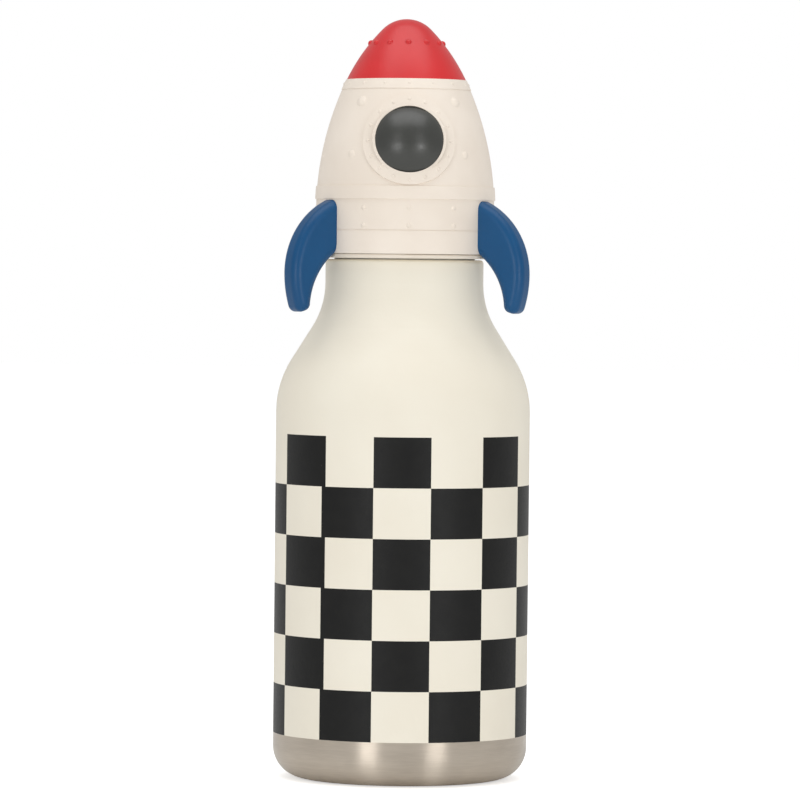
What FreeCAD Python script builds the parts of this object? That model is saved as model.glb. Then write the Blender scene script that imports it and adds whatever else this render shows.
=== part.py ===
"""A child's vacuum-insulated drinking bottle with a pull-off rocket head over a screwed straw lid.

Millimetres, +Z up. The origin is the centre of the foot, on the surface the bottle stands on, and
the bottle's front faces -Y. Azimuths are in degrees, from the front (-Y) towards +X.
"""
import FreeCAD, Part
import math
import os

# ---- Bottle: outline of the outer steel wall ----
BODY_R = 36.5
FOOT_CORNER_R = 9.0
BAND_TOP_Z = 13.0          # the bare base cup ends and the painted wall begins here
SHOULDER_Z = 105.2
SHOULDER_R = 28.0
SLOPE_DEG = 32.0           # steepest lean of the shoulder from the vertical
THROAT_R = 24.0
NECK_R = 22.7
NECK_TOP_Z = 149.0
NECK_TOP_ROUND_R = 1.0
FINISH_R = 20.2            # the threaded part of the neck, under the lid
SHEET = 0.6                # thickness of both steel walls
VACUUM_GAP = 2.0
LIP_TOP_Z = 165.95
LIP_ROUND_R = 0.7

# ---- Bottle: base ----
FOOT_RING_INNER_R = 24.5
RECESS_R = 22.8
RECESS_DEPTH = 2.0
LINER_UNDERSIDE_Z = 5.0
LINER_NECK_R = 19.4        # outside of the liner inside the threaded neck
LINER_TAPER_Z = (144.5, 147.0)
PORT_R = 1.0
SEAL_BEAD_R = 3.0
SEAL_BEAD_DROP = 0.7
DISC_R = 22.4
DISC_POCKET_R = 4.0
GETTER_R = 5.0
GETTER_T = 1.2
GETTER_X = 12.0

# ---- Thread between neck and lid ----
THREAD_LEAD = 6.0
THREAD_TURNS = 1.5
THREAD_DEPTH = 1.0
THREAD_ROOT_HALF_W = 1.1
THREAD_CREST_HALF_W = 0.6
THREAD_SINK = 0.2          # how far a ridge's root is buried in its wall
NECK_THREAD_Z = 154.0
THREAD_DROP = 2.5          # the lid's ridge runs this far below the neck's

# ---- Straw lid ----
LID_BORE_R = 21.5
COLLAR_R = 23.1
FLANGE_R = 25.2
FLANGE_Z = (149.3, 150.5)
FLANGE_ROUND_R = 0.3
GROOVE_R = 22.5
GROOVE_Z = (156.0, 160.0)
DECK_Z = (167.2, 169.5)
DECK_ROUND_R = 0.8
GRIP_RING_R = 23.4
GRIP_CROWN = 0.15
SEAL_R = (18.9, 21.2)
SEAL_Z = (166.0, 167.15)
FIT_GAP = 0.05

# ---- Drinking parts: spout side is behind the middle, the vent in front of it ----
SPOUT_Y = 8.0
VENT_Y = -10.0
ADAPTOR_R = 4.2
ADAPTOR_FLANGE_R = 6.5
ADAPTOR_FLANGE_T = 1.2
ADAPTOR_BORE_R = 1.7
NOZZLE_R = 4.0
NOZZLE_TOP_Z = 179.0
BARB_R = 4.5
BARB_Z = (176.5, 178.0)    # square shoulder below, slope above
SHANK_BOTTOM_Z = 165.5
SPIGOT_BOTTOM_Z = 156.5
STRAW_R = 3.5
STRAW_BORE_R = 2.6
STRAW_BOTTOM_Z = 8.0
SPOUT_COLLAR_H = 2.2
SPOUT_WAIST = (5.3, 175.9)
SPOUT_BULB = (6.0, 185.5)
SPOUT_CROWN = (4.3, 189.1)   # the rounded top passes through here
SPOUT_TOP_Z = 190.0
SPOUT_TOP_T = 1.5
SPOUT_BORE_R = 2.0
SLIT = (4.0, 0.3, 3.0)     # length, width and depth
VENT_STEM_R = 1.5
VENT_HEAD_R = 4.0
VENT_RIM_T = 0.3
VENT_HEAD_T = 0.9
VENT_HEAD_ROUND = (2.4, 0.72)   # the umbrella's top passes here: radius, height above the deck
VENT_BULB = (2.2, 0.7)     # widest point: radius, depth below the deck
VENT_BULB_H = 1.6
VENT_HOLE_R = 0.6
VENT_HOLE_X = 2.6

# ---- Rocket head: outline of the outside ----
HEAD_TURN_DEG = 2.5        # how far round from the bottle's front the head is seated
HULL_R = 25.6
HULL_RIM_Z = 150.6
OGIVE_Z = 163.0
OGIVE_R = 87.3
NOSE_Z = 200.5
TIP_R = 9.7
TOP_Z = 218.0
HULL_T = 1.3
NOSE_T = 2.0
CAP_T = 0.8
CAP_RIM_Z = 151.2
CAP_DOME_Z = 189.0
CAP_DOME_R = 8.0
NOSE_SPIGOT_Z = (196.5, 202.0)

# ---- Rocket head: moulded details ----
BAND_Z = (166.1, 169.9)
BAND_PROUD = 0.35
TOP_BAND_Z = (197.6, 200.5)
TOP_BAND_PROUD = 0.2
BAND_ROUND_R = 0.12
SEAM_Z = 157.2
SEAM_DEPTH = 0.2
SKIRT_RIVET_ROWS_Z = (163.6, 158.6)
SKIRT_RIVET_COUNT = 12     # less the ones that the fins' roots would cover
SKIRT_RIVET = (1.4, 0.3)   # every rivet is (width, how far it stands proud)
TOP_RIVETS_Z = 199.3
TOP_RIVET_COUNT = 16
TOP_RIVET = (0.9, 0.2)
BUMP_COLUMNS_DEG = (42, 138, 180, 222, 318)
UPPER_BUMPS_Z = 193.9
UPPER_BUMP = (3.1, 0.6)
LOWER_BUMPS_Z = 178.8
LOWER_BUMP = (2.3, 0.4)
NOSE_RIVETS_Z = 211.1
NOSE_RIVET_COUNT = 12
NOSE_RIVET = (1.8, 0.6)
PORTHOLE_Z = 183.1
LENS_R = 9.7
LENS_SEAT = -0.8           # back of the lens, along the porthole's axis from the hull's surface
LENS_EDGE = -0.5
LENS_CROWN = 4.0
SOCKET_R = 10.5
RING_R = 13.15
RING_PROUD = 0.6
RING_RIVETS_R = 11.8
RING_RIVET_COUNT = 16
RING_RIVET = (1.1, 0.25)

# ---- Fins ----
FIN_AZIMUTHS_DEG = {"fin_left": -60.0, "fin_right": 60.0, "fin_rear": 180.0}
FIN_T = 7.5
FIN_EDGE_R = 2.5
FIN_TOP_Z = 165.8
FIN_REACH = (39.2, 145.0)
FIN_TOE = (37.0, 133.4)
FIN_HEEL = (33.0, 134.6)
FIN_TOE_R = 2.0
BLADE_ROOT_R = 24.0        # blades are drawn in to here and then cut back to the hull
FIN_ROOT_Z = 150.0
TAB_T = 4.0
TAB_Z = (153.0, 163.0)
TAB_DEPTH = 1.0
TAB_LENGTH = 4.0

MIDDLE = FreeCAD.Vector(0, 0, 0)
UP = FreeCAD.Vector(0, 0, 1)
SLOPE = math.radians(SLOPE_DEG)


# ---- Outline helpers: an outline lies in the XZ plane, its points are (radius, height) ----
def spot(r, z):
    return FreeCAD.Vector(r, 0, z)


def path(*corners):
    """Straight edges through the given (radius, height) corners."""
    return [Part.LineSegment(spot(*a), spot(*b)).toShape() for a, b in zip(corners, corners[1:])]


def bend(start, through, end):
    """One arc through three (radius, height) points."""
    return [Part.Arc(spot(*start), spot(*through), spot(*end)).toShape()]


def on_circle(centre, radius, degrees):
    angle = math.radians(degrees)
    return (centre[0] + radius * math.cos(angle), centre[1] + radius * math.sin(angle))


def sweep_arc(centre, radius, start_deg, end_deg):
    middle_deg = (start_deg + end_deg) / 2
    return bend(*[on_circle(centre, radius, a) for a in (start_deg, middle_deg, end_deg)])


def turned(edges, y=0.0):
    """The solid that a closed outline makes when it is turned about the vertical line at y."""
    face = Part.Face(Part.Wire(Part.__sortEdges__(edges)))
    solid = face.revolve(MIDDLE, UP, 360)
    solid.translate(FreeCAD.Vector(0, y, 0))
    return solid


def tube(outer_r, inner_r, z_low, z_high, y=0.0):
    solid = Part.makeCylinder(outer_r, z_high - z_low, FreeCAD.Vector(0, y, z_low))
    return solid.cut(Part.makeCylinder(inner_r, z_high - z_low, FreeCAD.Vector(0, y, z_low)))


def rod(radius, z_low, z_high, x=0.0, y=0.0):
    return Part.makeCylinder(radius, z_high - z_low, FreeCAD.Vector(x, y, z_low))


def compass(azimuth_deg):
    """The level direction that an azimuth points in."""
    angle = math.radians(azimuth_deg)
    return FreeCAD.Vector(math.sin(angle), -math.cos(angle), 0)


def evenly(count):
    """Azimuths that share the circle out evenly, from the front."""
    return [index * 360.0 / count for index in range(count)]


def one_solid(shape):
    """The single solid of a boolean's result, with seams between like faces merged."""
    return shape.removeSplitter().Solids[0]


# ---- Bottle outline at a depth inside the outer surface ----
def shoulder_centre():
    return (BODY_R - SHOULDER_R, SHOULDER_Z)


def throat_centre():
    shoulder_end = on_circle(shoulder_centre(), SHOULDER_R, SLOPE_DEG)
    throat_start_r = NECK_R + THROAT_R * (1 - math.cos(SLOPE))
    rise = (shoulder_end[0] - throat_start_r) / math.tan(SLOPE)
    return (NECK_R + THROAT_R, shoulder_end[1] + rise + THROAT_R * math.sin(SLOPE))


def body_edges(depth, z_low, z_high):
    """The bottle's side from z_low up to z_high on the neck, this far inside the outer surface."""
    shoulder_r = SHOULDER_R - depth
    throat_r = THROAT_R + depth
    shoulder_end = on_circle(shoulder_centre(), shoulder_r, SLOPE_DEG)
    throat_start = on_circle(throat_centre(), throat_r, 180 + SLOPE_DEG)
    edges = path((BODY_R - depth, z_low), (BODY_R - depth, SHOULDER_Z))
    edges += sweep_arc(shoulder_centre(), shoulder_r, 0, SLOPE_DEG)
    edges += path(shoulder_end, throat_start)
    edges += sweep_arc(throat_centre(), throat_r, 180 + SLOPE_DEG, 180)
    edges += path((NECK_R - depth, throat_centre()[1]), (NECK_R - depth, z_high))
    return edges


# ---- Thread ridges ----
def thread_ridge(root_r, crest_r, start_z):
    """A helical ridge whose middle starts at start_z in front of +X and climbs to the left."""
    helix = Part.makeHelix(THREAD_LEAD, THREAD_LEAD * THREAD_TURNS, root_r)
    half_root, half_crest = THREAD_ROOT_HALF_W, THREAD_CREST_HALF_W
    corners = [(root_r, -half_root), (crest_r, -half_crest), (crest_r, half_crest), (root_r, half_root)]
    profile = Part.Wire(path(*corners, corners[0]))
    ridge = Part.Wire(helix).makePipeShell([profile], True, True)
    ridge.translate(FreeCAD.Vector(0, 0, start_z))
    return ridge


# ---- Bottle pieces ----
def make_outer_wall():
    round_z = NECK_TOP_Z - NECK_TOP_ROUND_R
    round_centre = (NECK_R - NECK_TOP_ROUND_R, round_z)
    finish_top_z = LIP_TOP_Z - 2 * LIP_ROUND_R
    edges = []
    for depth in (0.0, SHEET):
        edges += body_edges(depth, BAND_TOP_Z, round_z)
        edges += sweep_arc(round_centre, NECK_TOP_ROUND_R - depth, 0, 90)
        step_z = NECK_TOP_Z - depth
        finish_r = FINISH_R - depth
        edges += path((round_centre[0], step_z), (finish_r, step_z), (finish_r, finish_top_z))
    edges += path((BODY_R - SHEET, BAND_TOP_Z), (BODY_R, BAND_TOP_Z))
    edges += path((FINISH_R - SHEET, finish_top_z), (FINISH_R, finish_top_z))
    thread = thread_ridge(FINISH_R - THREAD_SINK, FINISH_R + THREAD_DEPTH, NECK_THREAD_Z)
    return one_solid(turned(edges).fuse(thread))


def make_base_cup():
    centre = (BODY_R - FOOT_CORNER_R, FOOT_CORNER_R)
    edges = []
    for depth in (0.0, SHEET):
        edges += path((BODY_R - depth, BAND_TOP_Z), (BODY_R - depth, FOOT_CORNER_R))
        edges += sweep_arc(centre, FOOT_CORNER_R - depth, 0, -90)
        edges += path(
            (centre[0], depth),
            (FOOT_RING_INNER_R + depth / 2, depth),
            (RECESS_R + depth / 2, RECESS_DEPTH + depth),
            (PORT_R, RECESS_DEPTH + depth),
        )
    edges += path((BODY_R - SHEET, BAND_TOP_Z), (BODY_R, BAND_TOP_Z))
    edges += path((PORT_R, RECESS_DEPTH), (PORT_R, RECESS_DEPTH + SHEET))
    return turned(edges)


def make_inner_liner():
    finish_top_z = LIP_TOP_Z - 2 * LIP_ROUND_R
    lip_centre = (FINISH_R - LIP_ROUND_R, LIP_TOP_Z - LIP_ROUND_R)
    outer_depth = SHEET + VACUUM_GAP
    corner_r = FOOT_CORNER_R - outer_depth
    corner_centre = (BODY_R - FOOT_CORNER_R, LINER_UNDERSIDE_Z + corner_r)
    edges = []
    for extra in (0.0, SHEET):
        depth = outer_depth + extra
        neck_r = LINER_NECK_R - extra
        edges += path((0, LINER_UNDERSIDE_Z + extra), (corner_centre[0], LINER_UNDERSIDE_Z + extra))
        edges += sweep_arc(corner_centre, corner_r - extra, -90, 0)
        edges += body_edges(depth, corner_centre[1], LINER_TAPER_Z[0])
        edges += path((NECK_R - depth, LINER_TAPER_Z[0]), (neck_r, LINER_TAPER_Z[1]))
    edges += path((0, LINER_UNDERSIDE_Z), (0, LINER_UNDERSIDE_Z + SHEET))
    edges += path((LINER_NECK_R, LINER_TAPER_Z[1]), (LINER_NECK_R, finish_top_z))
    edges += path((LINER_NECK_R, finish_top_z), (FINISH_R, finish_top_z), (FINISH_R, lip_centre[1]))
    edges += sweep_arc(lip_centre, LIP_ROUND_R, 0, 180)
    edges += path((LINER_NECK_R - SHEET, lip_centre[1]), (LINER_NECK_R - SHEET, LINER_TAPER_Z[1]))
    return turned(edges)


def make_vacuum_seal():
    """A drop of braze that plugs the evacuation port and bulges below it."""
    low_z = RECESS_DEPTH - SEAL_BEAD_DROP
    high_z = RECESS_DEPTH + SHEET
    side = (SEAL_BEAD_R * 0.75, RECESS_DEPTH - SEAL_BEAD_DROP * 0.7)
    edges = bend((SEAL_BEAD_R, RECESS_DEPTH), side, (PORT_R, low_z))
    edges += path(
        (PORT_R, low_z),
        (0, low_z),
        (0, high_z),
        (PORT_R, high_z),
        (PORT_R, RECESS_DEPTH),
        (SEAL_BEAD_R, RECESS_DEPTH),
    )
    return turned(edges)


def make_base_disc():
    top_z = RECESS_DEPTH - FIT_GAP
    disc = rod(DISC_R, 0, top_z)
    return disc.cut(rod(DISC_POCKET_R, top_z - 2 * SEAL_BEAD_DROP, top_z))


def make_getter_pellet():
    floor_z = RECESS_DEPTH + SHEET + FIT_GAP
    return rod(GETTER_R, floor_z, floor_z + GETTER_T, x=GETTER_X)


# ---- Straw lid pieces ----
def make_straw_lid():
    low, high = FLANGE_Z
    under, top = DECK_Z
    edge = FLANGE_ROUND_R
    edges = path((LID_BORE_R, low), (FLANGE_R - edge, low))
    edges += sweep_arc((FLANGE_R - edge, low + edge), edge, -90, 0)
    edges += path((FLANGE_R, low + edge), (FLANGE_R, high - edge))
    edges += sweep_arc((FLANGE_R - edge, high - edge), edge, 0, 90)
    edges += path(
        (FLANGE_R - edge, high),
        (COLLAR_R, high),
        (COLLAR_R, GROOVE_Z[0]),
        (GROOVE_R, GROOVE_Z[0]),
        (GROOVE_R, GROOVE_Z[1]),
        (COLLAR_R, GROOVE_Z[1]),
        (COLLAR_R, top - DECK_ROUND_R),
    )
    edges += sweep_arc((COLLAR_R - DECK_ROUND_R, top - DECK_ROUND_R), DECK_ROUND_R, 0, 90)
    edges += path((COLLAR_R - DECK_ROUND_R, top), (0, top), (0, under))
    edges += path((0, under), (LID_BORE_R, under), (LID_BORE_R, low))
    thread = thread_ridge(LID_BORE_R + THREAD_SINK, LID_BORE_R - THREAD_DEPTH, NECK_THREAD_Z - THREAD_DROP)
    holes = [rod(ADAPTOR_R, under, top, y=SPOUT_Y), rod(VENT_STEM_R, under, top, y=VENT_Y)]
    for side in (-1, 1):
        holes.append(rod(VENT_HOLE_R, under, top, x=side * VENT_HOLE_X, y=VENT_Y))
    return one_solid(turned(edges).fuse(thread).cut(Part.makeCompound(holes)))


def make_lid_seal():
    return tube(SEAL_R[1], SEAL_R[0], *SEAL_Z)


def make_grip_ring():
    low, high = GROOVE_Z[0] + FIT_GAP, GROOVE_Z[1] - FIT_GAP
    side_r = GRIP_RING_R - GRIP_CROWN
    edges = path((side_r, high), (GROOVE_R, high), (GROOVE_R, low), (side_r, low))
    edges += bend((side_r, low), (GRIP_RING_R, (low + high) / 2), (side_r, high))
    return turned(edges)


def make_straw_adaptor():
    flange_low, flange_high = DECK_Z[1], DECK_Z[1] + ADAPTOR_FLANGE_T
    barb_low, barb_high = BARB_Z
    edges = path(
        (ADAPTOR_BORE_R, SPIGOT_BOTTOM_Z),
        (STRAW_BORE_R, SPIGOT_BOTTOM_Z),
        (STRAW_BORE_R, SHANK_BOTTOM_Z),
        (ADAPTOR_R, SHANK_BOTTOM_Z),
        (ADAPTOR_R, flange_low),
        (ADAPTOR_FLANGE_R, flange_low),
        (ADAPTOR_FLANGE_R, flange_high),
        (NOZZLE_R, flange_high),
        (NOZZLE_R, barb_low),
        (BARB_R, barb_low),
        (NOZZLE_R, barb_high),
        (NOZZLE_R, NOZZLE_TOP_Z),
        (ADAPTOR_BORE_R, NOZZLE_TOP_Z),
        (ADAPTOR_BORE_R, SPIGOT_BOTTOM_Z),
    )
    return turned(edges, y=SPOUT_Y)


def make_bite_spout():
    foot_z = DECK_Z[1] + ADAPTOR_FLANGE_T + FIT_GAP
    collar_top_z = foot_z + SPOUT_COLLAR_H
    chamber_top_z = SPOUT_TOP_Z - SPOUT_TOP_T
    barb_low, barb_high = BARB_Z
    sleeve_r = NOZZLE_R + FIT_GAP
    edges = path((sleeve_r, foot_z), (ADAPTOR_FLANGE_R, foot_z), (ADAPTOR_FLANGE_R, collar_top_z))
    edges += bend((ADAPTOR_FLANGE_R, collar_top_z), SPOUT_WAIST, SPOUT_BULB)
    edges += bend(SPOUT_BULB, SPOUT_CROWN, (0, SPOUT_TOP_Z))
    edges += path(
        (0, SPOUT_TOP_Z),
        (0, chamber_top_z),
        (SPOUT_BORE_R, chamber_top_z),
        (SPOUT_BORE_R, NOZZLE_TOP_Z + FIT_GAP),
        (sleeve_r, NOZZLE_TOP_Z + FIT_GAP),
        (sleeve_r, barb_high),
        (BARB_R + FIT_GAP, barb_low - FIT_GAP),
        (sleeve_r, barb_low - FIT_GAP),
        (sleeve_r, foot_z),
    )
    length, width, depth = SLIT
    corner = FreeCAD.Vector(-length / 2, SPOUT_Y - width / 2, SPOUT_TOP_Z - depth)
    slit = Part.makeBox(length, width, depth + 1, corner)
    return one_solid(turned(edges, y=SPOUT_Y).cut(slit))


def make_straw_tube():
    return tube(STRAW_R, STRAW_BORE_R, STRAW_BOTTOM_Z, SHANK_BOTTOM_Z - FIT_GAP, y=SPOUT_Y)


def make_vent_valve():
    """A soft umbrella on a stem, held under the deck by its bulb."""
    under, top = DECK_Z
    rim_z = top + VENT_RIM_T
    crown_z = top + VENT_HEAD_T
    bulb_top_z = under - FIT_GAP
    bulb_low_z = under - VENT_BULB_H
    bulb_side = (VENT_BULB[0], under - VENT_BULB[1])
    head_side = (VENT_HEAD_ROUND[0], top + VENT_HEAD_ROUND[1])
    flat_r = VENT_STEM_R / 2
    edges = path((0, bulb_low_z), (flat_r, bulb_low_z))
    edges += bend((flat_r, bulb_low_z), bulb_side, (VENT_STEM_R, bulb_top_z))
    edges += path((VENT_STEM_R, bulb_top_z), (VENT_STEM_R, top), (VENT_HEAD_R, top), (VENT_HEAD_R, rim_z))
    edges += bend((VENT_HEAD_R, rim_z), head_side, (flat_r, crown_z))
    edges += path((flat_r, crown_z), (0, crown_z), (0, bulb_low_z))
    return turned(edges, y=VENT_Y)


# ---- Head outline: three tangent arcs above a straight skirt ----
def ogive_centre():
    return (HULL_R - OGIVE_R, OGIVE_Z)


def nose_lean_deg():
    return math.degrees(math.asin((NOSE_Z - OGIVE_Z) / OGIVE_R))


def tip_centre():
    return (0.0, TOP_Z - TIP_R)


def nose_arc():
    """Centre and radius of the arc that leaves the ogive at NOSE_Z and meets the round tip."""
    start = on_circle(ogive_centre(), OGIVE_R, nose_lean_deg())
    lean = math.radians(nose_lean_deg())
    across = start[0] * math.cos(lean) + (start[1] - tip_centre()[1]) * math.sin(lean)
    square = start[0] ** 2 + (start[1] - tip_centre()[1]) ** 2
    radius = (square - TIP_R**2) / (2 * (across - TIP_R))
    return (start[0] - radius * math.cos(lean), start[1] - radius * math.sin(lean)), radius


def head_edges(depth):
    """The head's side from its rim to the tip's centre line, this far inside the outer surface."""
    centre, radius = nose_arc()
    tip = tip_centre()
    tip_deg = math.degrees(math.atan2(tip[1] - centre[1], tip[0] - centre[0]))
    edges = path((HULL_R - depth, HULL_RIM_Z), (HULL_R - depth, OGIVE_Z))
    edges += sweep_arc(ogive_centre(), OGIVE_R - depth, 0, nose_lean_deg())
    edges += sweep_arc(centre, radius - depth, nose_lean_deg(), tip_deg)
    edges += sweep_arc(tip, TIP_R - depth, tip_deg, 90)
    return edges


def head_shell(outer_depth, inner_depth, z_low, z_high):
    """The part of the head's shell between two depths and two heights."""
    edges = head_edges(outer_depth) + head_edges(inner_depth)
    edges += path((HULL_R - outer_depth, HULL_RIM_Z), (HULL_R - inner_depth, HULL_RIM_Z))
    edges += path((0, TOP_Z - outer_depth), (0, TOP_Z - inner_depth))
    return turned(edges).common(rod(2 * HULL_R, z_low, z_high))


def head_core(depth):
    """Everything more than this depth inside the head's outer surface."""
    edges = head_edges(depth)
    edges += path((HULL_R - depth, HULL_RIM_Z), (0, HULL_RIM_Z), (0, TOP_Z - depth))
    return turned(edges)


def head_radius(z, depth=0.0):
    """Radius of the head at a height, on its skirt, ogive or nose."""
    if z <= OGIVE_Z:
        return HULL_R - depth
    centre, radius = ogive_centre(), OGIVE_R
    if z > NOSE_Z:
        centre, radius = nose_arc()
    return centre[0] + math.sqrt((radius - depth) ** 2 - (z - centre[1]) ** 2)


def head_normal(z, azimuth_deg):
    """Outward direction of the head's surface."""
    if z <= OGIVE_Z:
        return compass(azimuth_deg)
    centre = ogive_centre() if z <= NOSE_Z else nose_arc()[0]
    lean = math.atan2(z - centre[1], head_radius(z) - centre[0])
    return compass(azimuth_deg) * math.cos(lean) + UP * math.sin(lean)


def rivet(place, outward, width, proud):
    """A ball sunk in the surface so that a low cap of this width stands proud."""
    ball_r = ((width / 2) ** 2 + proud**2) / (2 * proud)
    return Part.makeSphere(ball_r, place - outward * (ball_r - proud))


def rivet_row(z, azimuths_deg, width, proud, raised=0.0):
    row = []
    for azimuth in azimuths_deg:
        turned_to = azimuth + HEAD_TURN_DEG
        place = compass(turned_to) * head_radius(z, -raised) + UP * z
        row.append(rivet(place, head_normal(z, turned_to), width, proud))
    return row


# ---- Porthole: its axis stands square on the hull's front ----
def porthole_axis():
    return head_normal(PORTHOLE_Z, HEAD_TURN_DEG)


def porthole_centre():
    return compass(HEAD_TURN_DEG) * head_radius(PORTHOLE_Z) + UP * PORTHOLE_Z


def porthole_rod(radius, low, high):
    """A cylinder on the porthole's axis, between two distances from the hull's surface."""
    start = porthole_centre() + porthole_axis() * low
    return Part.makeCylinder(radius, high - low, start, porthole_axis())


def porthole_rivets():
    """Small rivets all round the ring, each moved along the axis until it sits on the ring."""
    axis = porthole_axis()
    side = compass(HEAD_TURN_DEG + 90)
    upward = side.cross(axis) * -1
    tries = 8
    rivets = []
    for degrees in evenly(RING_RIVET_COUNT):
        angle = math.radians(degrees)
        place = porthole_centre() + (side * math.cos(angle) + upward * math.sin(angle)) * RING_RIVETS_R
        for _ in range(tries):
            shortfall = head_radius(place.z, -RING_PROUD) - math.hypot(place.x, place.y)
            place = place + axis * shortfall
        outward = head_normal(place.z, math.degrees(math.atan2(place.x, -place.y)))
        rivets.append(rivet(place, outward, *RING_RIVET))
    return rivets


# ---- Head pieces ----
def raised_band(z_range, proud):
    band = head_shell(-proud, HULL_T / 2, *z_range)
    rims = [edge for edge in band.Edges if edge.BoundBox.XMax > head_radius(edge.BoundBox.ZMin)]
    return band.makeFillet(BAND_ROUND_R, [edge for edge in rims if edge.isClosed()])


def porthole_ring():
    """The raised ring that follows the hull round the porthole."""
    shell = head_shell(-RING_PROUD, HULL_T / 2, PORTHOLE_Z - 2 * RING_R, PORTHOLE_Z + 2 * RING_R)
    return shell.common(porthole_rod(RING_R, -2 * RING_R, RING_R))


def make_rocket_hull():
    """The hull's shell, with every moulded detail added in turn and then the openings cut."""
    under_fins = [azimuth % 360 for azimuth in FIN_AZIMUTHS_DEG.values()]
    clear_of_fins = [azimuth for azimuth in evenly(SKIRT_RIVET_COUNT) if azimuth not in under_fins]
    top_row = rivet_row(TOP_RIVETS_Z, evenly(TOP_RIVET_COUNT), *TOP_RIVET, raised=TOP_BAND_PROUD)
    hull = head_shell(0, HULL_T, HULL_RIM_Z, NOSE_Z)
    hull = hull.fuse(raised_band(BAND_Z, BAND_PROUD))
    hull = hull.fuse(raised_band(TOP_BAND_Z, TOP_BAND_PROUD))
    hull = hull.fuse(porthole_ring())
    hull = hull.fuse(porthole_rod(SOCKET_R, LENS_SEAT, LENS_EDGE))
    hull = hull.multiFuse(porthole_rivets())
    for z in SKIRT_RIVET_ROWS_Z:
        hull = hull.multiFuse(rivet_row(z, clear_of_fins, *SKIRT_RIVET))
    hull = hull.multiFuse(top_row)
    hull = hull.multiFuse(rivet_row(UPPER_BUMPS_Z, BUMP_COLUMNS_DEG, *UPPER_BUMP))
    hull = hull.multiFuse(rivet_row(LOWER_BUMPS_Z, BUMP_COLUMNS_DEG, *LOWER_BUMP))
    hull = hull.cut(porthole_rod(LENS_R + FIT_GAP, LENS_SEAT, RING_R))
    hull = hull.cut(head_core(HULL_T))
    hull = hull.cut(tube(HULL_R + 1, HULL_R - SEAM_DEPTH, SEAM_Z, SEAM_Z + SEAM_DEPTH))
    for azimuth in FIN_AZIMUTHS_DEG.values():
        hull = hull.cut(fin_tab(azimuth, FIT_GAP))
    return one_solid(hull)


def make_head_inner_cap():
    """The hard cup inside the hull whose skirt grips the lid's ring."""
    edges = []
    centre = ogive_centre()
    outer_depth = HULL_T + FIT_GAP
    dome_deg = math.degrees(math.asin((CAP_DOME_Z - OGIVE_Z) / (OGIVE_R - outer_depth)))
    dome_centre = on_circle(centre, OGIVE_R - outer_depth - CAP_DOME_R, dome_deg)
    for extra in (0.0, CAP_T):
        side_r = HULL_R - outer_depth - extra
        dome_r = CAP_DOME_R - extra
        edges += path((side_r, CAP_RIM_Z), (side_r, OGIVE_Z))
        edges += sweep_arc(centre, OGIVE_R - outer_depth - extra, 0, dome_deg)
        edges += sweep_arc(dome_centre, dome_r, dome_deg, 90)
        edges += path((dome_centre[0], dome_centre[1] + dome_r), (0, dome_centre[1] + dome_r))
    edges += path((HULL_R - outer_depth - CAP_T, CAP_RIM_Z), (HULL_R - outer_depth, CAP_RIM_Z))
    top_z = dome_centre[1] + CAP_DOME_R
    edges += path((0, top_z - CAP_T), (0, top_z))
    return turned(edges)


def make_nose_cone():
    cone = head_shell(0, NOSE_T, NOSE_Z, TOP_Z)
    spigot = head_shell(HULL_T + FIT_GAP, HULL_T + FIT_GAP + CAP_T, *NOSE_SPIGOT_Z)
    rivets = rivet_row(NOSE_RIVETS_Z, evenly(NOSE_RIVET_COUNT), *NOSE_RIVET)
    return one_solid(cone.multiFuse([spigot] + rivets))


def make_porthole_lens():
    edge_gap = LENS_CROWN - LENS_EDGE
    ball_r = (LENS_R**2 + edge_gap**2) / (2 * edge_gap)
    centre = porthole_centre() + porthole_axis() * (LENS_CROWN - ball_r)
    dome = Part.makeSphere(ball_r, centre).common(porthole_rod(LENS_R, LENS_SEAT, RING_R))
    return one_solid(dome)


def fin_tab(azimuth_deg, gap):
    """The block on a fin's root that plugs into the hull, or the slot for it where gap is more than 0."""
    width = TAB_T + 2 * gap
    height = TAB_Z[1] - TAB_Z[0] + 2 * gap
    corner = FreeCAD.Vector(HULL_R - TAB_DEPTH - gap, -width / 2, TAB_Z[0] - gap)
    block = Part.makeBox(TAB_LENGTH, width, height, corner)
    block.rotate(MIDDLE, UP, azimuth_deg + HEAD_TURN_DEG - 90)
    return block


def blade_circle(widest, root_z):
    """Centre and radius of the circle that is vertical at its widest point and meets the hull at root_z."""
    across, down = widest[0] - HULL_R, widest[1] - root_z
    radius = (across**2 + down**2) / (2 * across)
    return (widest[0] - radius, widest[1]), radius


def blade_arc(circle, end_r):
    """The arc of that circle from its widest point up to a radius inside the hull."""
    centre, radius = circle
    return sweep_arc(centre, radius, 0, math.degrees(math.acos((end_r - centre[0]) / radius)))


def toe_arc():
    """The outer edge below its widest point, curving in to the toe."""
    across, down = FIN_REACH[0] - FIN_TOE[0], FIN_REACH[1] - FIN_TOE[1]
    radius = (across**2 + down**2) / (2 * across)
    toe_deg = -math.degrees(math.asin(down / radius))
    return sweep_arc((FIN_REACH[0] - radius, FIN_REACH[1]), radius, 0, toe_deg)


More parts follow.
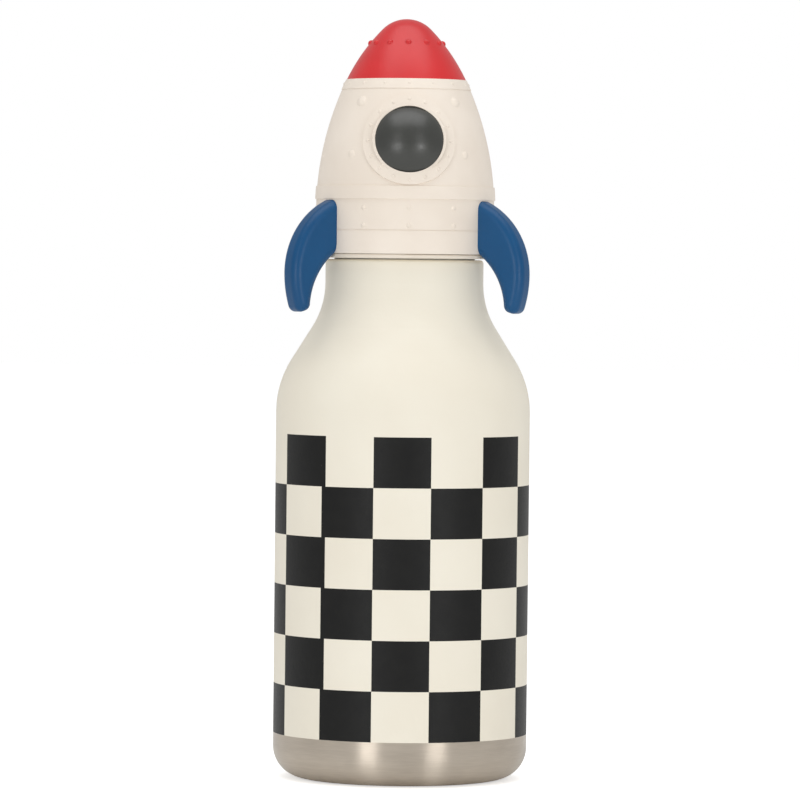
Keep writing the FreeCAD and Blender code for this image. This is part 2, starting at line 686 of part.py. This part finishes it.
def make_fin(azimuth_deg):
    """A curved blade that hangs from the hull, with rounded edges and a tab on its root."""
    outer = blade_circle(FIN_REACH, FIN_TOP_Z)
    inner = blade_circle(FIN_HEEL, FIN_ROOT_Z)
    root = []
    for centre, radius in (outer, inner):
        root.append((BLADE_ROOT_R, centre[1] + math.sqrt(radius**2 - (BLADE_ROOT_R - centre[0]) ** 2)))
    edges = blade_arc(outer, BLADE_ROOT_R) + toe_arc() + path(FIN_TOE, FIN_HEEL)
    edges += blade_arc(inner, BLADE_ROOT_R) + path(*root)
    outline = Part.Face(Part.Wire(Part.__sortEdges__(edges)))
    outline.translate(FreeCAD.Vector(0, -FIN_T / 2, 0))
    blade = outline.extrude(FreeCAD.Vector(0, FIN_T, 0))
    below_reach_z = (FIN_REACH[1] + FIN_HEEL[1]) / 2
    toe_corners = []
    for edge in blade.Edges:
        if edge.BoundBox.YLength > FIN_T / 2 and edge.BoundBox.ZMax < below_reach_z:
            toe_corners.append(edge)
    blade = blade.makeFillet(FIN_TOE_R, toe_corners)
    past_root_r = (BLADE_ROOT_R + HULL_R) / 2
    rims = []
    for edge in blade.Edges:
        if edge.BoundBox.YLength < FIN_T / 2 and edge.BoundBox.XMax > past_root_r:
            rims.append(edge)
    blade = blade.makeFillet(FIN_EDGE_R, rims)
    blade = blade.cut(rod(HULL_R, 0, TOP_Z))
    blade.rotate(MIDDLE, UP, azimuth_deg + HEAD_TURN_DEG - 90)
    return one_solid(blade.fuse(fin_tab(azimuth_deg, 0)))


# ---- Every piece, one file each ----
def make_pieces():
    pieces = {
        "outer_wall": make_outer_wall(),
        "base_cup": make_base_cup(),
        "inner_liner": make_inner_liner(),
        "vacuum_seal": make_vacuum_seal(),
        "base_disc": make_base_disc(),
        "getter_pellet": make_getter_pellet(),
        "lid_seal": make_lid_seal(),
        "straw_lid": make_straw_lid(),
        "grip_ring": make_grip_ring(),
        "straw_adaptor": make_straw_adaptor(),
        "bite_spout": make_bite_spout(),
        "straw_tube": make_straw_tube(),
        "vent_valve": make_vent_valve(),
        "rocket_hull": make_rocket_hull(),
        "head_inner_cap": make_head_inner_cap(),
        "nose_cone": make_nose_cone(),
        "porthole_lens": make_porthole_lens(),
    }
    for name, azimuth in FIN_AZIMUTHS_DEG.items():
        pieces[name] = make_fin(azimuth)
    return pieces


PIECES = make_pieces()
os.makedirs("parts", exist_ok=True)
for name, shape in PIECES.items():
    shape.exportStep(os.path.join("parts", name + ".step"))
    print(name, "valid" if shape.isValid() else "NOT VALID", len(shape.Solids), round(shape.Volume, 1))
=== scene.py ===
"""Looks for a child's steel drinking bottle with a rocket head: materials, studio and camera.

Metres, in the CAD frame: +Z up, the bottle stands on z = 0 and its front faces -Y.
"""
import math

import bpy
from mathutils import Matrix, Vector


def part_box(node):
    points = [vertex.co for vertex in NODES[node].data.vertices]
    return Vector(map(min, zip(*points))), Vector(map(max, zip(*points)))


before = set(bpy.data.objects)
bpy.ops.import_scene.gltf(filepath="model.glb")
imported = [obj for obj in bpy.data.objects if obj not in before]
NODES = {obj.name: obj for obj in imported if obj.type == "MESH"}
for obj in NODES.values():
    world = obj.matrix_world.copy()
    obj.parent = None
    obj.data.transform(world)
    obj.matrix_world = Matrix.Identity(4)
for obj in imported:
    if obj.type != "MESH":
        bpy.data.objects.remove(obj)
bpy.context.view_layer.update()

MM = 0.001


# ---- Colours, as a printer would write them (sRGB, 0 to 255), turned into scene-linear ----
def linear(red, green, blue):
    def channel(value):
        value = value / 255
        return value / 12.92 if value <= 0.04045 else ((value + 0.055) / 1.055) ** 2.4

    return (channel(red), channel(green), channel(blue), 1.0)


PAINT_CREAM = (linear(240, 234, 219), linear(236, 229, 213))
PAINT_BLACK = (linear(10, 10, 10), linear(15, 15, 14))
STEEL = (linear(209, 198, 184), linear(199, 188, 174))
LINER_STEEL = (linear(205, 203, 199), linear(190, 188, 184))
HULL_CREAM = (linear(240, 229, 216), linear(234, 222, 208))
LID_CREAM = (linear(236, 226, 211), linear(230, 219, 203))
NOSE_RED = (linear(212, 28, 32), linear(203, 23, 28))
FIN_BLUE = (linear(4, 76, 124), linear(2, 71, 118))
PORTHOLE_GREY = (linear(50, 51, 46), linear(44, 45, 41))
SILICONE_WHITE = (linear(226, 226, 222), linear(216, 216, 212))
SILICONE_GREY = (linear(176, 172, 164), linear(165, 161, 153))
MILKY = (linear(232, 232, 227), linear(222, 222, 216))
BRAZE = (linear(150, 148, 144), linear(128, 126, 122))
GETTER_GREY = (linear(96, 96, 98), linear(78, 78, 80))


# ---- Node helpers ----
def new_material(name, roughness, **sockets):
    """A material with plain shader values; each keyword is a socket's name with underscores."""
    material = bpy.data.materials.new(name)
    material.use_nodes = True
    shader = material.node_tree.nodes["Principled BSDF"]
    shader.inputs["Roughness"].default_value = roughness
    for key, value in sockets.items():
        shader.inputs[key.replace("_", " ")].default_value = value
    return material


def shader_of(material):
    return material.node_tree.nodes["Principled BSDF"]


def put(tree, value, socket):
    """Links an output to a socket, or sets a plain value on it."""
    if isinstance(value, bpy.types.NodeSocket):
        tree.links.new(value, socket)
    else:
        socket.default_value = value


def calc(tree, operation, *values):
    node = tree.nodes.new("ShaderNodeMath")
    node.operation = operation
    for value, socket in zip(values, node.inputs):
        put(tree, value, socket)
    return node.outputs[0]


def place(tree):
    """The x, y and z of the shaded point, in metres."""
    coordinates = tree.nodes.new("ShaderNodeTexCoord").outputs["Object"]
    split = tree.nodes.new("ShaderNodeSeparateXYZ")
    tree.links.new(coordinates, split.inputs[0])
    return split.outputs["X"], split.outputs["Y"], split.outputs["Z"]


def noise(tree, size, detail=2.0, vector=None):
    """Noise whose blotches are about `size` metres across, from 0 to 1."""
    source = vector or tree.nodes.new("ShaderNodeTexCoord").outputs["Object"]
    node = tree.nodes.new("ShaderNodeTexNoise")
    node.inputs["Scale"].default_value = 1 / size
    node.inputs["Detail"].default_value = detail
    tree.links.new(source, node.inputs["Vector"])
    return node.outputs["Fac"]


NOISE_LOW = 0.35            # most of a noise's values lie between these two
NOISE_HIGH = 0.65


def remap(tree, value, low=0.0, high=1.0):
    """Spreads the middle of a noise over the range low to high."""
    node = tree.nodes.new("ShaderNodeMapRange")
    tree.links.new(value, node.inputs["Value"])
    node.inputs["From Min"].default_value = NOISE_LOW
    node.inputs["From Max"].default_value = NOISE_HIGH
    node.inputs["To Min"].default_value = low
    node.inputs["To Max"].default_value = high
    return node.outputs["Result"]


def mix(tree, factor, first, second):
    """The first colour where factor is 0, the second where it is 1."""
    node = tree.nodes.new("ShaderNodeMix")
    node.data_type = "RGBA"
    colour_inputs = [socket for socket in node.inputs if socket.type == "RGBA"]
    put(tree, factor, node.inputs["Factor"])
    put(tree, first, colour_inputs[0])
    put(tree, second, colour_inputs[1])
    return next(socket for socket in node.outputs if socket.type == "RGBA")


def bump(tree, height, distance, under=None):
    """A normal raised by height (0 to 1) times distance (metres), on top of the normal under it."""
    node = tree.nodes.new("ShaderNodeBump")
    node.inputs["Distance"].default_value = distance
    node.inputs["Strength"].default_value = 1.0
    tree.links.new(height, node.inputs["Height"])
    if under is not None:
        tree.links.new(under, node.inputs["Normal"])
    return node.outputs["Normal"]


def connect(material, colour=None, roughness=None, normal=None):
    shader = shader_of(material)
    links = material.node_tree.links
    for value, name in ((colour, "Base Color"), (roughness, "Roughness"), (normal, "Normal")):
        if value is not None:
            links.new(value, shader.inputs[name])


def give(material, *names):
    for name in names:
        for slot in NODES[name].material_slots:
            slot.material = material


# ---- Painted steel: powder coat with a printed checker ----
CHECK_ROWS = 6
CHECK_COLUMNS = 14
CHECK_HEIGHT = 14.333 * MM  # of one row
SEAM_OVERLAP = 1.4 * MM     # the print's ends overlap by this much, in front on the left


def angle_from_front(tree, x, y):
    """The angle round the axis in radians, 0 at the front (-Y) and rising towards +X."""
    return calc(tree, "ARCTAN2", x, calc(tree, "MULTIPLY", y, -1.0))


def checker(tree, low_z, radius):
    """1 on the black squares, 0 elsewhere; the middle of a column faces the front."""
    x, y, z = place(tree)
    half_column = 0.5
    turn = calc(tree, "DIVIDE", angle_from_front(tree, x, y), math.tau)
    columns_round = calc(tree, "MULTIPLY", turn, CHECK_COLUMNS)
    column_place = calc(tree, "ADD", columns_round, CHECK_COLUMNS + half_column)
    row_place = calc(tree, "DIVIDE", calc(tree, "SUBTRACT", z, low_z), CHECK_HEIGHT)
    column = calc(tree, "FLOOR", column_place)
    row = calc(tree, "FLOOR", row_place)
    odd = calc(tree, "MODULO", calc(tree, "ADD", column, row), 2.0)
    seam_start = CHECK_COLUMNS - 1.0
    seam_width = SEAM_OVERLAP / (math.tau * radius) * CHECK_COLUMNS
    past_seam = calc(tree, "GREATER_THAN", column_place, seam_start)
    before_end = calc(tree, "LESS_THAN", column_place, seam_start + seam_width)
    black = calc(tree, "MAXIMUM", odd, calc(tree, "MULTIPLY", past_seam, before_end))
    above = calc(tree, "GREATER_THAN", row_place, 0.0)
    below = calc(tree, "LESS_THAN", row_place, float(CHECK_ROWS))
    return calc(tree, "MULTIPLY", black, calc(tree, "MULTIPLY", above, below))


def painted_steel():
    low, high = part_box("outer_wall")
    radius = high[0]
    material = new_material("painted_steel", 0.42, Specular_IOR_Level=0.25)
    tree = material.node_tree
    cream = mix(tree, remap(tree, noise(tree, 35 * MM, 3.0)), *PAINT_CREAM)
    black = mix(tree, remap(tree, noise(tree, 4 * MM, 4.0)), *PAINT_BLACK)
    print_mask = checker(tree, low[2], radius)
    orange_peel = noise(tree, 1.1 * MM, 3.0)
    grain = noise(tree, 0.28 * MM, 2.0)
    coat = bump(tree, grain, 0.01 * MM, under=bump(tree, orange_peel, 0.03 * MM))
    print_edge = bump(tree, print_mask, 0.02 * MM, under=coat)
    connect(
        material,
        colour=mix(tree, print_mask, cream, black),
        roughness=remap(tree, grain, 0.38, 0.50),
        normal=print_edge,
    )
    return material


# ---- Bare metals ----
def lathe_vector(tree, x, y, z):
    """Coordinates in which noise is drawn out into lines round the axis."""
    along_lines = 1.6 * MM      # metres of noise for each radian of turn
    across = calc(tree, "ADD", calc(tree, "MULTIPLY", x, x), calc(tree, "MULTIPLY", y, y))
    ring = tree.nodes.new("ShaderNodeCombineXYZ")
    put(tree, calc(tree, "MULTIPLY", angle_from_front(tree, x, y), along_lines), ring.inputs[0])
    put(tree, z, ring.inputs[1])
    put(tree, calc(tree, "SQRT", across), ring.inputs[2])
    return ring.outputs[0]


def turned_steel(name, colours, roughness, line_depth, anisotropic):
    """Steel finished on a lathe: fine lines run round the axis, and highlights stretch along it."""
    quarter_turn = 0.25
    material = new_material(
        name, roughness, Metallic=1.0, Anisotropic=anisotropic, Anisotropic_Rotation=quarter_turn
    )
    tree = material.node_tree
    vector = lathe_vector(tree, *place(tree))
    fine_lines = calc(tree, "MULTIPLY", noise(tree, 0.22 * MM, 5.0, vector), 0.6)
    coarse_lines = calc(tree, "MULTIPLY", noise(tree, 0.9 * MM, 3.0, vector), 0.4)
    marks = calc(tree, "ADD", fine_lines, coarse_lines)
    cloud = noise(tree, 12 * MM, 3.0)
    tangent = tree.nodes.new("ShaderNodeTangent")
    tangent.direction_type = "RADIAL"
    tangent.axis = "Z"
    tree.links.new(tangent.outputs[0], shader_of(material).inputs["Tangent"])
    connect(
        material,
        colour=mix(tree, remap(tree, marks), *colours),
        roughness=remap(tree, cloud, roughness - 0.04, roughness + 0.05),
        normal=bump(tree, marks, line_depth),
    )
    return material


def dull_metal(name, colours, size, depth):
    """Unpolished metal with pits of the given size and depth."""
    material = new_material(name, 0.55, Metallic=1.0)
    tree = material.node_tree
    pits = noise(tree, size, 5.0)
    connect(
        material,
        colour=mix(tree, remap(tree, pits), *colours),
        roughness=remap(tree, pits, 0.45, 0.7),
        normal=bump(tree, pits, depth),
    )
    return material


# ---- Plastics and silicones ----
def moulded(name, colours, roughness, grain_size=0.4 * MM, grain_depth=0.02 * MM, **sockets):
    """Moulded plastic or silicone: faint flow clouds, a fine spark-eroded grain and uneven gloss."""
    material = new_material(name, roughness, **sockets)
    tree = material.node_tree
    cloud = noise(tree, 18 * MM, 3.0)
    grain = noise(tree, grain_size, 3.0)
    waviness = noise(tree, 6 * MM, 2.0)
    normal = bump(tree, grain, grain_depth, under=bump(tree, waviness, 0.04 * MM))
    connect(
        material,
        colour=mix(tree, remap(tree, cloud), *colours),
        roughness=remap(tree, grain, roughness - 0.04, roughness + 0.05),
        normal=normal,
    )
    return material


def soft_glow(weight):
    """Shader values for a milky material that light goes a few millimetres into."""
    return {"Subsurface_Weight": weight, "Subsurface_Scale": 4 * MM}


def clad_metal():
    give(painted_steel(), "outer_wall")
    give(turned_steel("bare_steel", STEEL, 0.36, 0.013 * MM, 1.0), "base_cup")
    give(turned_steel("liner_steel", LINER_STEEL, 0.24, 0.008 * MM, 0.3), "inner_liner")
    give(dull_metal("braze", BRAZE, 0.6 * MM, 0.03 * MM), "vacuum_seal")
    give(dull_metal("getter_metal", GETTER_GREY, 0.4 * MM, 0.04 * MM), "getter_pellet")


def clad_silicone():
    give(moulded("base_silicone", SILICONE_GREY, 0.7, 0.6 * MM, 0.04 * MM), "base_disc")
    give(moulded("seal_silicone", SILICONE_WHITE, 0.5), "lid_seal", "vent_valve")
    give(moulded("grip_silicone", LID_CREAM, 0.6), "grip_ring")
    give(moulded("spout_silicone", SILICONE_WHITE, 0.42, **soft_glow(0.4)), "bite_spout")


def clad_plastic():
    give(moulded("lid_plastic", LID_CREAM, 0.5), "straw_lid")
    natural = moulded("natural_plastic", MILKY, 0.38, **soft_glow(0.3))
    give(natural, "straw_adaptor", "straw_tube", "head_inner_cap")
    give(moulded("hull_plastic", HULL_CREAM, 0.5), "rocket_hull")
    give(moulded("nose_plastic", NOSE_RED, 0.36, Specular_IOR_Level=0.6), "nose_cone")
    fin = moulded("fin_plastic", FIN_BLUE, 0.36, Specular_IOR_Level=0.32)
    give(fin, "fin_left", "fin_right", "fin_rear")
    lens = moulded("porthole_plastic", PORTHOLE_GREY, 0.34, 0.5 * MM, 0.003 * MM, Specular_IOR_Level=0.75)
    give(lens, "porthole_lens")


# ---- Studio ----
ROOM_GLOW = 0.55            # soft light from all round; the backdrop itself shows as white
FLOOR_GLOW = 0.04           # what the floor adds to the light on the object
FLOOR_LIFT = 0.5            # added where the floor itself is in view, so that it meets the backdrop
FLOOR_HALF = 6.0
FLOOR_LEVEL = -0.1 * MM     # just under the foot, so that the two faces don't fight
FLOOR_PAPER = (linear(252, 252, 251), linear(249, 249, 248))
CAMERA_PLACE = (0.0, -1.54, 0.148)
CAMERA_LENS = 241.0         # on a sensor 36 wide
CAMERA_ROLL_DEG = 0.6       # the view is tilted by this much
TARGET = Vector((-0.0009, 0.0, 0.1086))

# Each box light: azimuth from the front towards +X, height, distance, width and height of the panel, power.
BOX_LIGHTS = {
    "left_box": (-29, 0.85, 1.6, 0.42, 0.6, 0.9),
    "right_box": (33, 0.85, 1.6, 0.42, 0.6, 0.9),
    "left_strip": (-28, 0.16, 1.6, 0.46, 0.25, 2.7),
    "right_strip": (33, 0.16, 1.6, 0.46, 0.25, 2.7),
    "top_box": (0, 1.4, 0.2, 1.6, 1.0, 8.5),
}


def aim(thing, roll_deg=0.0):
    """Points a light or camera at the target."""
    direction = TARGET - thing.location
    turn = direction.to_track_quat("-Z", "Y").to_matrix().to_4x4()
    thing.rotation_euler = turn.to_euler()
    thing.rotation_euler.rotate_axis("Z", math.radians(roll_deg))


def softbox(name, azimuth_deg, height, distance, width, tall, power):
    """A rectangular light at an azimuth from the front, towards +X, aimed at the object."""
    data = bpy.data.lights.new(name, "AREA")
    data.shape = "RECTANGLE"
    data.size = width
    data.size_y = tall
    data.energy = power
    light = bpy.data.objects.new(name, data)
    angle = math.radians(azimuth_deg)
    light.location = (distance * math.sin(angle), -distance * math.cos(angle), height)
    aim(light)
    bpy.context.collection.objects.link(light)


def floor_paper():
    """Pale paper that glows a little, and more where the camera sees it directly."""
    material = new_material("floor_paper", 0.9, Specular_IOR_Level=0.1, Emission_Color=(1, 1, 1, 1))
    tree = material.node_tree
    connect(
        material,
        colour=mix(tree, remap(tree, noise(tree, 20 * MM, 4.0)), *FLOOR_PAPER),
        normal=bump(tree, noise(tree, 1 * MM, 2.0), 0.02 * MM),
    )
    seen = tree.nodes.new("ShaderNodeLightPath").outputs["Is Camera Ray"]
    glow = calc(tree, "MULTIPLY_ADD", seen, FLOOR_LIFT, FLOOR_GLOW)
    tree.links.new(glow, shader_of(material).inputs["Emission Strength"])
    return material


def floor():
    """A broad pale floor, nearly white under the studio light."""
    mesh = bpy.data.meshes.new("floor")
    signs = ((-1, -1), (1, -1), (1, 1), (-1, 1))
    corners = [(along * FLOOR_HALF, deep * FLOOR_HALF, FLOOR_LEVEL) for along, deep in signs]
    mesh.from_pydata(corners, [], [(0, 1, 2, 3)])
    piece = bpy.data.objects.new("floor", mesh)
    bpy.context.collection.objects.link(piece)
    mesh.materials.append(floor_paper())


def room_light():
    """Even light from the room; the backdrop itself shows as white."""
    world = bpy.data.worlds.new("studio")
    bpy.context.scene.world = world
    world.use_nodes = True
    tree = world.node_tree
    background = tree.nodes["Background"]
    background.inputs["Color"].default_value = (1, 1, 1, 1)
    seen = tree.nodes.new("ShaderNodeLightPath").outputs["Is Camera Ray"]
    tree.links.new(calc(tree, "MAXIMUM", seen, ROOM_GLOW), background.inputs["Strength"])


def studio():
    room_light()
    floor()
    for name, settings in BOX_LIGHTS.items():
        softbox(name, *settings)
    bpy.context.scene.view_settings.view_transform = "Standard"


def camera():
    data = bpy.data.cameras.new("camera")
    data.sensor_width = 36.0
    data.lens = CAMERA_LENS
    view = bpy.data.objects.new("camera", data)
    view.location = CAMERA_PLACE
    aim(view, CAMERA_ROLL_DEG)
    bpy.context.collection.objects.link(view)
    bpy.context.scene.camera = view


camera()
clad_metal()
clad_silicone()
clad_plastic()
studio()
